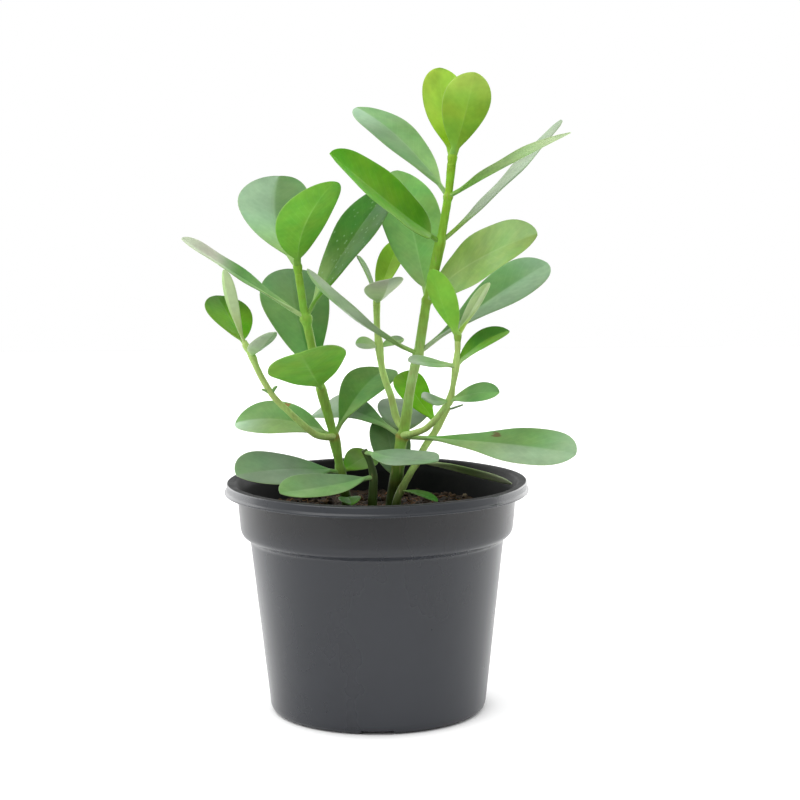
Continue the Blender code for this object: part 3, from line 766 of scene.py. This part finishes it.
def piece(name, points, faces, surface, data=None, stands_for=()):
    """A smooth mesh piece from points in millimetres. Data holds values for each point, by name."""
    mesh = new_mesh(name, points, faces)
    mesh.materials.append(surface)
    for key, values in (data or {}).items():
        kind, field = POINT_DATA.get(key, ("FLOAT", "value"))
        if kind != "FLOAT":
            values = [c for value in values for c in value]
        mesh.attributes.new(key, kind, "POINT").data.foreach_set(field, values)
    mesh.polygons.foreach_set("use_smooth", [True] * len(mesh.polygons))
    mesh.update()
    obj = add_object(name, mesh)
    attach(obj, "root")
    if stands_for:
        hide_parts(*stands_for)
    return obj


class Shape:
    """Points, faces and point data that grow as parts are added."""

    def __init__(self, *keys):
        self.points = []
        self.faces = []
        self.data = {key: [] for key in keys}

    def add(self, points, faces, **data):
        start = len(self.points)
        self.points += points
        self.faces += [[start + i for i in face] for face in faces]
        for key, values in data.items():
            self.data[key] += values

    def piece(self, name, surface, slot, stands_for=()):
        return piece(name, self.points, self.faces, surface, self.data, stands_for)


def tube_faces(rings, sides):
    """Faces of a tube whose rings of points follow each other, closed at both ends."""
    faces = []
    for k in range(rings - 1):
        for i in range(sides):
            j = (i + 1) % sides
            low, high = k * sides, (k + 1) * sides
            faces.append([low + i, low + j, high + j, high + i])
    faces.append(list(range(sides))[::-1])
    faces.append(list(range((rings - 1) * sides, rings * sides)))
    return faces


# Leaves and stems


def blade_share(share, widest):
    """How wide the blade is, as a share of its full width, at a share of its length."""
    power = 2 * TIP_ROUNDING * widest**2 / (1 - widest**2)
    full = widest**power * (1 - widest**2) ** TIP_ROUNDING
    return share**power * (1 - share**2) ** TIP_ROUNDING / full


def between_tones(tones, share):
    """The colour at a share of the way along a list of tones."""
    place = share * (len(tones) - 1)
    k = min(int(place), len(tones) - 2)
    part = place - k
    return tones[k].lerp(tones[k + 1], part * part * (3 - 2 * part))


def blade_faces(wide, rows):
    """Faces of the upper and the under skin of a blade, joined all round."""
    under = wide * rows
    faces = []
    for k in range(rows - 1):
        for j in range(wide - 1):
            a = k * wide + j
            b, c, d = a + 1, a + wide + 1, a + wide
            faces.append([a, b, c, d])
            faces.append([under + d, under + c, under + b, under + a])
        left, right = k * wide, k * wide + wide - 1
        faces.append([left, left + wide, under + left + wide, under + left])
        faces.append([right + wide, right, under + right, under + right + wide])
    for j in range(wide - 1):
        faces.append([j + 1, j, under + j, under + j + 1])
        last = (rows - 1) * wide + j
        faces.append([last, last + 1, under + last + 1, under + last])
    return faces


def leaf_shape(shape, leaf, look, draw, foot_width):
    """Adds one leaf: two skins that meet in a rounded margin, with a midrib that stands out below."""
    first, second, wax, speck = look
    base = Vector(leaf.base)
    chord = Vector(leaf.tip) - base
    length = chord.length
    along = chord.normalized()
    normal = Vector(leaf.facing)
    normal = (normal - along * normal.dot(along)).normalized()
    side = along.cross(normal)
    stalk = min(PETIOLE_HALF_WIDTH, leaf.width * PETIOLE_WIDTH_SHARE) * foot_width
    stalk_thickness = PETIOLE_THICKNESS * min(1.0, stalk / PETIOLE_HALF_WIDTH)
    first, second = [[tone(name) for name in names.split()] for names in (first, second)]
    wave = draw.uniform(*RIPPLES) * min(1.0, leaf.width / RIPPLE_FULL_WIDTH)
    phases = (draw.uniform(0, RANDOM_TURN), draw.uniform(0, RANDOM_TURN))
    columns = [-u for u in reversed(LEAF_COLUMNS[1:])] + list(LEAF_COLUMNS)
    shares = PETIOLE_ROWS + [0.5 - 0.5 * math.cos(math.pi * k / LEAF_ROWS) for k in range(LEAF_ROWS + 1)]
    upper, under, tones, blades = [], [], [], []
    for share in shares:
        # Rows on the petiole have a share below zero.
        s = PETIOLE_SHARE * (1 + share) if share < 0 else PETIOLE_SHARE + (1 - PETIOLE_SHARE) * share
        share = max(share, 0.0)
        arch = 4 * s * (1 - s)
        centre = base + along * length * s + normal * leaf.bow * arch + side * leaf.sweep * arch
        slope = 4 * leaf.bow * (1 - 2 * s) / length
        up = (normal - along * slope).normalized()
        blade = leaf.width / 2 * blade_share(share, leaf.widest)
        lift = leaf.cup * blade / (leaf.width / 2)
        half = (blade**3 + (stalk * (1 - share) ** 0.5) ** 3) ** (1 / 3)
        half = max(half, LEAST_HALF_WIDTH)
        thinned = min(1.0, share / THIN_FROM_SHARE)
        thickness = stalk_thickness * (1 - thinned) + BLADE_THICKNESS * thinned
        thickness *= 1 if share < END_SHARE else END_THICKNESS
        swing = math.tau * share * length / RIPPLE_LENGTH
        foot = max(0.0, 1 - s / FOOT_TONE_SHARE)
        for u in columns:
            reach = abs(u)
            ripple = wave * math.sin(swing + phases[u > 0]) * reach**3 * thinned
            point = centre + side * half * u + up * (lift * reach**CUP_POWER + ripple)
            rounded = math.sqrt(max(0.0, 1 - reach ** (2 + 6 * thinned)))
            skin = thickness / 2 * (EDGE_SKIN * thinned + (1 - EDGE_SKIN * thinned) * rounded)
            away = reach * half
            rib = RIB_HEIGHT * math.exp(-((away / RIB_WIDTH) ** 2)) * (1 - share) ** 0.8 * thinned
            groove = GROOVE_DEPTH * math.exp(-((away / GROOVE_WIDTH) ** 2)) * (1 - share) ** 0.6 * thinned
            upper.append(point + up * (skin - groove))
            under.append(point - up * (skin + rib))
            # The halves take tones of their own: painted light and shade across the fold at the midrib.
            blend = clamp(0.5 + u * 5)
            colour = between_tones(first, share).lerp(between_tones(second, share), blend)
            tones.append(colour.lerp(tone("shoot"), 0.5 * foot))
            blades.append((share, u, 0.0))
    count = len(upper)
    shape.add(
        upper + under,
        blade_faces(len(columns), len(shares)),
        tone=opaque(tones + [colour.lerp(tone("pale"), 0.12) for colour in tones]),
        blade=blades * 2,
        wax=[max(0.0, float(wax))] * (2 * count),
        speck=[float(speck)] * count + [0.0] * count,
    )


def smooth_line(stem):
    """Points close together on a smooth curve through the stem's points: (place, radius)."""
    places = [Vector(point[:3]) for point in stem]
    radii = [point[3] for point in stem]
    found = []
    for k in range(len(stem) - 1):
        before = places[max(k - 1, 0)]
        after = places[min(k + 2, len(stem) - 1)]
        a, b = places[k], places[k + 1]
        span = (b - a).length
        pull_a = (b - before) * span / (span + (a - before).length)
        pull_b = (after - a) * span / ((after - b).length + span)
        steps = max(2, round(span / STEM_RING_STEP))
        for i in range(steps):
            t = i / steps
            place = (
                a * (2 * t**3 - 3 * t**2 + 1)
                + pull_a * (t**3 - 2 * t**2 + t)
                + b * (3 * t**2 - 2 * t**3)
                + pull_b * (t**3 - t**2)
            )
            ease = t * t * (3 - 2 * t)
            found.append((place, radii[k] * (1 - ease) + radii[k + 1] * ease))
    found.append((places[-1], radii[-1]))
    return found


def stem_tone(name, z):
    """Dark at the foot as painted shade, then green, then yellower towards the young top."""
    # The low shoot stands low under the leaves; its dark tones are painted shade.
    if name == "low_shoot":
        return tone("stem_in_shade").lerp(tone("shaded_dim_stem"), clamp((z - LOW_SHOOT_FOOT_Z) / LOW_SHOOT_FADE))
    thin = "side_shoot" in name or name == "back_shoot"
    young = tone("shoot" if thin else "stem")
    young = young.lerp(tone("young_stem"), clamp((z - YOUNG_STEM_Z) / YOUNG_STEM_FADE))
    if name == "main_shoot":
        young = young.lerp(tone("pale"), 0.35 * math.exp(-(((z - PALE_STEM_Z) / PALE_STEM_REACH) ** 2)))
    foot = DARK_FOOT_Z.get(name, DARK_FOOT_USUAL_Z)
    return tone("stem_in_shade").lerp(young, clamp((z - foot) / DARK_FOOT_FADE))


def stem_shape(shape, name):
    """Adds one stem: a round tube, browner at its leaves, most where the thick stems branch."""
    stem = STEMS[name]
    if name.endswith("_tip"):
        x, y, z, radius = stem[0]
        stem = [(x, y, z - TIP_OVERLAP, radius - TIP_INSET)] + stem[1:]
    line = smooth_line(stem)
    bases = [Vector(leaf.base) for leaf in LEAVES[name]]
    side = Vector((1, 0, 0))
    points, tones = [], []
    for k, (place, radius) in enumerate(line):
        ahead = line[min(k + 1, len(line) - 1)][0] - line[max(k - 1, 0)][0]
        ahead.normalize()
        side = (side - ahead * side.dot(ahead)).normalized()
        other = ahead.cross(side)
        gap = min((base - place).length for base in bases)
        scarred = name in ("main_shoot", "left_shoot") and SCARRED_FROM_Z < place.z < SCARRED_TO_Z
        scar = (0.6 if scarred else 0.04) * math.exp(-((gap / SCAR_WIDTH) ** 2))
        colour = stem_tone(name, place.z).lerp(tone("tan"), scar)
        for i in range(STEM_SIDES):
            angle = math.tau * i / STEM_SIDES
            outward = side * math.cos(angle) + other * math.sin(angle)
            rough = 1 + STEM_ROUGHNESS * noise.noise(place * 0.35 + outward * 1.4)
            flat = 1 + STEM_FLATNESS * math.cos(2 * angle)
            points.append(place + outward * radius * rough * flat)
            tones.append(colour)
    shape.add(points, tube_faces(len(line), STEM_SIDES), tone=opaque(tones))


def leaf_kind(look):
    """Which leaf surface a look asks for."""
    wax = look[2]
    return "waxy" if wax > 0 else "plain" if wax == 0 else "soft"


def build_shoot(name, leaf_looks, stem_look):
    draw = random.Random(name)
    young = name.endswith("_tip")
    slot = "leaf_young" if young else "leaf_mature"
    stem = Shape("tone")
    stem_shape(stem, name)
    stem.piece(f"{name}_stem", stem_look, slot, (name,))
    leaves = list(zip(LEAVES[name], LOOKS[name]))
    leaves += [(scale, SCALE_LOOK) for scale in SCALES.get(name, [])]
    for kind, surface in leaf_looks.items():
        blades = Shape("tone", "blade", "wax", "speck")
        for leaf, look in leaves:
            if leaf_kind(look) == kind:
                leaf_shape(blades, leaf, look, draw, TIP_FOOT_WIDTH if young else 1.0)
        if blades.points:
            blades.piece(f"{name}_{kind}_leaves", surface, slot, (name,))


# Pot


def rounded_outline(outline):
    """The closed outline with each corner cut into a short curve."""
    found = []
    count = len(outline)
    for k, (radius, height) in enumerate(outline):
        if radius == 0 or outline[(k + 1) % count][0] == 0 or outline[k - 1][0] == 0:
            found.append((radius, height))
            continue
        here = Vector((radius, height))
        before = Vector(outline[k - 1]) - here
        after = Vector(outline[(k + 1) % count]) - here
        cut = min(before.length, after.length) * CORNER_SHARE
        start = here + before.normalized() * cut
        end = here + after.normalized() * cut
        for i in range(CORNER_STEPS + 1):
            t = i / CORNER_STEPS
            point = start * (1 - t) ** 2 + here * 2 * t * (1 - t) + end * t * t
            found.append((point.x, point.y))
    return found


def wall_point(radius, height, angle):
    """A point of the pot, moved a little where the thin wall near the rim is uneven."""
    rim = clamp((height - FLEX_FROM_Z) / FLEX_HEIGHT)
    uneven = sum(size * rim * math.sin(waves * angle + phase) for waves, size, phase in FLEX_WAVES)
    reach = min(radius + uneven, SKIRT_RADIUS)
    waves, size, phase = LIFT_WAVE
    lift = size * rim * (math.sin(waves * angle + phase) - 1)
    return (*around(reach, angle), height + lift)


def build_pot(surface, inside):
    points, faces, rings = [], [], []
    for radius, height in rounded_outline(POT_PROFILE):
        if radius == 0:
            rings.append([len(points)] * POT_STEPS)
            points.append((0, 0, height))
            continue
        rings.append([len(points) + i for i in range(POT_STEPS)])
        points += [wall_point(radius, height, math.tau * i / POT_STEPS) for i in range(POT_STEPS)]
    for k, ring in enumerate(rings):
        below = rings[(k + 1) % len(rings)]
        for i in range(POT_STEPS):
            j = (i + 1) % POT_STEPS
            corners = list(dict.fromkeys([ring[i], ring[j], below[j], below[i]]))
            if len(corners) > 2:
                faces.append(corners)
    pot = piece("pot_shell", points, faces, surface, None, ("pot",))
    face_outward(pot.data)
    cut_pot(pot)
    pot.data.materials.append(inside)
    # The inner wall and the top of the lip take the darker inside plastic: painted shade.
    for face in pot.data.polygons:
        x, y, z = face.center
        inward = -(face.normal.x * x + face.normal.y * y) / max(math.hypot(x, y), MM)
        lip_top = face.normal.z > 0.85 and z > LIP_TOP_Z * MM
        if lip_top or inward > 0.2 and z > FLOOR_TOP_Z * MM:
            face.material_index = 1
    return pot


def cutter(points, faces):
    mesh = new_mesh("cutter", points, faces)
    face_outward(mesh)
    return bpy.data.objects.new("cutter", mesh)


def drain_cutter(turn):
    centre = Vector((*around(DRAIN_CIRCLE_RADIUS, turn), 0))
    points = []
    for z in (-CUT_THROUGH, FLOOR_TOP_Z + CUT_THROUGH):
        for k in range(DRAIN_SIDES):
            rim = around(DRAIN_RADIUS, math.tau * k / DRAIN_SIDES)
            points.append(centre + Vector((*rim, z)))
    return cutter(points, tube_faces(2, DRAIN_SIDES))


def notch_cutter(turn):
    out = Vector((*around(1, turn), 0))
    wide = Vector((-out.y, out.x, 0)) * NOTCH_WIDTH / 2
    points = []
    for z in (-CUT_THROUGH, NOTCH_HEIGHT):
        for a, b in ((NOTCH_INNER, -1), (NOTCH_OUTER, -1), (NOTCH_OUTER, 1), (NOTCH_INNER, 1)):
            points.append(out * a + wide * b + Vector((0, 0, z)))
    return cutter(points, tube_faces(2, 4))


def cut_pot(pot):
    """Cuts the drain holes and the notches in the foot ring."""
    group = bpy.data.collections.new("cutters")
    bpy.context.scene.collection.children.link(group)
    for i in range(DRAIN_HOLES):
        group.objects.link(drain_cutter(math.tau * (i + 0.5) / DRAIN_HOLES))
    for i in range(FOOT_NOTCHES):
        group.objects.link(notch_cutter(math.tau * i / FOOT_NOTCHES))
    modifier = pot.modifiers.new("cut", "BOOLEAN")
    modifier.operand_type = "COLLECTION"
    modifier.collection = group
    modifier.operation = "DIFFERENCE"
    modifier.solver = "EXACT"
    bpy.context.view_layer.update()
    graph = bpy.context.evaluated_depsgraph_get()
    result = bpy.data.meshes.new_from_object(pot.evaluated_get(graph))
    pot.modifiers.remove(modifier)
    pot.data = result
    for other in list(group.objects):
        bpy.data.objects.remove(other, do_unlink=True)
    bpy.data.collections.remove(group)
    result.polygons.foreach_set("use_smooth", [True] * len(result.polygons))
    result.set_sharp_from_angle(angle=math.radians(SHARP_DEGREES))


# Potting mix


def soil_top(x, y):
    """The height of the mix at a place."""
    swell = SOIL_SWELL * math.sin(0.19 * x + 0.8) * math.cos(0.16 * y - 0.4)
    swell += SOIL_RIPPLE * math.sin(0.31 * x - 0.27 * y)
    lumps = sum(size * noise.noise(Vector((x, y, seed)) * scale) for size, seed, scale in SOIL_LUMPS)
    return SOIL_TOP_Z + swell + lumps


def build_soil(surface):
    """The mix: a rough top and a side that follows the inside of the pot."""
    edge = SOIL_SIDE[0][0]
    rings = round(edge / SOIL_CELL)
    turns = [math.tau * i / SOIL_STEPS for i in range(SOIL_STEPS)]
    points = [(0, 0, soil_top(0, 0))]
    for k in range(1, rings + 1):
        radius = edge * k / rings
        for angle in turns:
            x, y = around(radius, angle)
            points.append((x, y, soil_top(x, y)))
    for radius, height in SOIL_SIDE[1:]:
        points += [(*around(radius, angle), height) for angle in turns]
    count = rings + len(SOIL_SIDE) - 1
    faces = [[0, 1 + i, 1 + (i + 1) % SOIL_STEPS] for i in range(SOIL_STEPS)]
    for k in range(count - 1):
        for i in range(SOIL_STEPS):
            j = (i + 1) % SOIL_STEPS
            near, far = 1 + k * SOIL_STEPS, 1 + (k + 1) * SOIL_STEPS
            faces.append([near + i, far + i, far + j, near + j])
    last = 1 + (count - 1) * SOIL_STEPS
    faces.append([last + i for i in range(SOIL_STEPS)][::-1])
    return piece("mix_body", points, faces, surface, None, ("soil",))


def free_place(draw, reach):
    """A random place on the mix."""
    radius = reach * math.sqrt(draw.random())
    angle = draw.uniform(0, math.tau)
    return around(radius, angle)


def small_ball():
    """Corners and faces of a coarse ball of radius 1."""
    ball = bmesh.new()
    bmesh.ops.create_icosphere(ball, subdivisions=2, radius=1.0)
    ball.verts.ensure_lookup_table()
    corners = [v.co.copy() for v in ball.verts]
    faces = [[v.index for v in face.verts] for face in ball.faces]
    ball.free()
    return corners, faces


def build_crumbs(surface):
    draw = random.Random(11)
    corners, faces = small_ball()
    shape = Shape("tone")
    for _ in range(CRUMBS):
        x, y = free_place(draw, CRUMB_REACH)
        size = draw.choice(CRUMB_SIZES)
        turn = Matrix.Rotation(draw.uniform(0, RANDOM_TURN), 3, (draw.random(), draw.random(), 1))
        stretch = Vector((draw.uniform(0.7, 1.4), draw.uniform(0.7, 1.4), draw.uniform(0.5, 0.9)))
        seed = Vector((draw.uniform(0, 90), draw.uniform(0, 90), draw.uniform(0, 90)))
        centre = Vector((x, y, soil_top(x, y) + size * CRUMB_SUNK))
        points = []
        for corner in corners:
            bumpy = size * (1 + CRUMB_BUMPS * noise.noise(corner * 1.6 + seed))
            points.append(centre + turn @ (corner * stretch * bumpy))
        colour = CRUMB_DARK.lerp(CRUMB_WARM, draw.random() ** 2.2)
        if draw.random() < PALE_CRUMBS:
            colour = CRUMB_PALE
        shape.add(points, faces, tone=opaque([colour]) * len(points))
    return shape.piece("mix_crumbs", surface, "potting_mix")


def build_fibres(surface):
    """Thin bark fibres that lie on the mix and rise from it in low arches."""
    draw = random.Random(23)
    shape = Shape("tone")
    for _ in range(FIBRES):
        x, y = free_place(draw, FIBRE_START_REACH)
        heading = draw.uniform(0, math.tau)
        step = draw.uniform(0.8, 1.6)
        radius = draw.uniform(0.1, 0.26)
        rise = draw.uniform(0.05, 0.5)
        count = draw.randint(5, 11)
        points = []
        for i in range(count):
            heading += draw.uniform(-0.5, 0.5)
            x += step * math.cos(heading)
            y += step * math.sin(heading)
            if math.hypot(x, y) > FIBRE_REACH:
                x, y = x * FIBRE_PULL_BACK, y * FIBRE_PULL_BACK
            done = i / (count - 1)
            hump = math.sin(math.pi * done) * rise * count * 0.5
            centre = Vector((x, y, soil_top(x, y) + 0.1 + hump))
            outward = Vector((-math.sin(heading), math.cos(heading), 0))
            thin = radius * (1 - FIBRE_TAPER * done)
            for n in range(FIBRE_SIDES):
                angle = math.tau * n / FIBRE_SIDES
                points.append(centre + (outward * math.cos(angle) + UP * math.sin(angle)) * thin)
        colour = FIBRE_HUSK.lerp(FIBRE_RUST, draw.random())
        shape.add(points, tube_faces(count, FIBRE_SIDES), tone=opaque([colour]) * len(points))
    return shape.piece("mix_fibres", surface, "potting_mix")


# Studio


def build_stage():
    """A plain pale floor that ends a little in front of the pot."""
    row = FLOOR_CELLS + 1
    points = []
    for j in range(row):
        y = FLOOR_FRONT + (FLOOR_BACK - FLOOR_FRONT) * j / FLOOR_CELLS
        for i in range(row):
            points.append((FLOOR_BACK * (2 * i / FLOOR_CELLS - 1), y, -STAGE_DROP))
    faces = []
    for j in range(FLOOR_CELLS):
        for i in range(FLOOR_CELLS):
            a = j * row + i
            faces.append([a, a + 1, a + row + 1, a + row])
    mesh = bpy.data.meshes.new("floor")
    mesh.from_pydata(points, [], faces)
    mesh.materials.append(stage_surface())
    floor = add_object("floor", mesh)


def build_lights():
    for name, place, size, power in LIGHTS:
        light = bpy.data.lights.new(name, "AREA")
        light.shape = "SQUARE"
        light.size = size
        light.energy = power
        obj = add_object(name, light)
        obj.location = place
        obj.rotation_euler = (Vector(LIGHT_TARGET) - Vector(place)).to_track_quat("-Z", "Y").to_euler()
        obj.visible_camera = False


def build_world():
    """White all round, softer from the front, so that rounded faces darken where they look that way."""
    world = bpy.data.worlds.new("studio")
    bpy.context.scene.world = world
    world.use_nodes = True
    nodes, links = world.node_tree.nodes, world.node_tree.links
    heading = nodes.new("ShaderNodeSeparateXYZ")
    links.new(nodes.new("ShaderNodeTexCoord").outputs["Generated"], heading.inputs[0])
    fade = nodes.new("ShaderNodeMapRange")
    fade.interpolation_type = "SMOOTHSTEP"
    links.new(heading.outputs["Y"], fade.inputs[0])
    for socket, value in zip(fade.inputs[1:5], (*LIGHT_FADE, FRONT_LIGHT, BACK_LIGHT)):
        socket.default_value = value
    choice = nodes.new("ShaderNodeMix")
    links.new(nodes.new("ShaderNodeLightPath").outputs["Is Camera Ray"], choice.inputs[0])
    links.new(fade.outputs[0], choice.inputs[2])
    choice.inputs[3].default_value = 1.0
    sky = nodes["Background"]
    sky.inputs["Color"].default_value = (1.0, 1.0, 1.0, 1.0)
    links.new(choice.outputs[0], sky.inputs["Strength"])


def build_camera():
    camera = bpy.data.cameras.new("camera")
    camera.sensor_width = SENSOR_WIDTH
    camera.lens = CAMERA_LENS
    camera.clip_start = 0.05
    camera.clip_end = 50.0
    obj = add_object("camera", camera)
    tilt = Matrix.Rotation(math.radians(CAMERA_TILT), 4, "X")
    roll = Matrix.Rotation(math.radians(CAMERA_ROLL), 4, "Z")
    obj.matrix_world = Matrix.Translation(CAMERA_PLACE) @ tilt @ roll
    bpy.context.scene.camera = obj


def main():
    build_camera()
    build_stage()
    build_world()
    build_lights()
    build_pot(pot_surface(), pot_inside_shade_surface())
    build_soil(soil_surface())
    crumbs = crumb_surface()
    build_crumbs(crumbs)
    build_fibres(crumbs)
    leaf_looks = {
        "waxy": leaf_surface("leaf_waxy", WAXY_GLOSS),
        "plain": leaf_surface("leaf_plain", PLAIN_GLOSS),
        "soft": leaf_surface("leaf_soft", SOFT_GLOSS, veining=0.35, relief=0.06),
    }
    stem_look = stem_surface()
    for name in STEMS:
        build_shoot(name, leaf_looks, stem_look)
    bpy.context.scene.view_settings.view_transform = "Standard"


main()
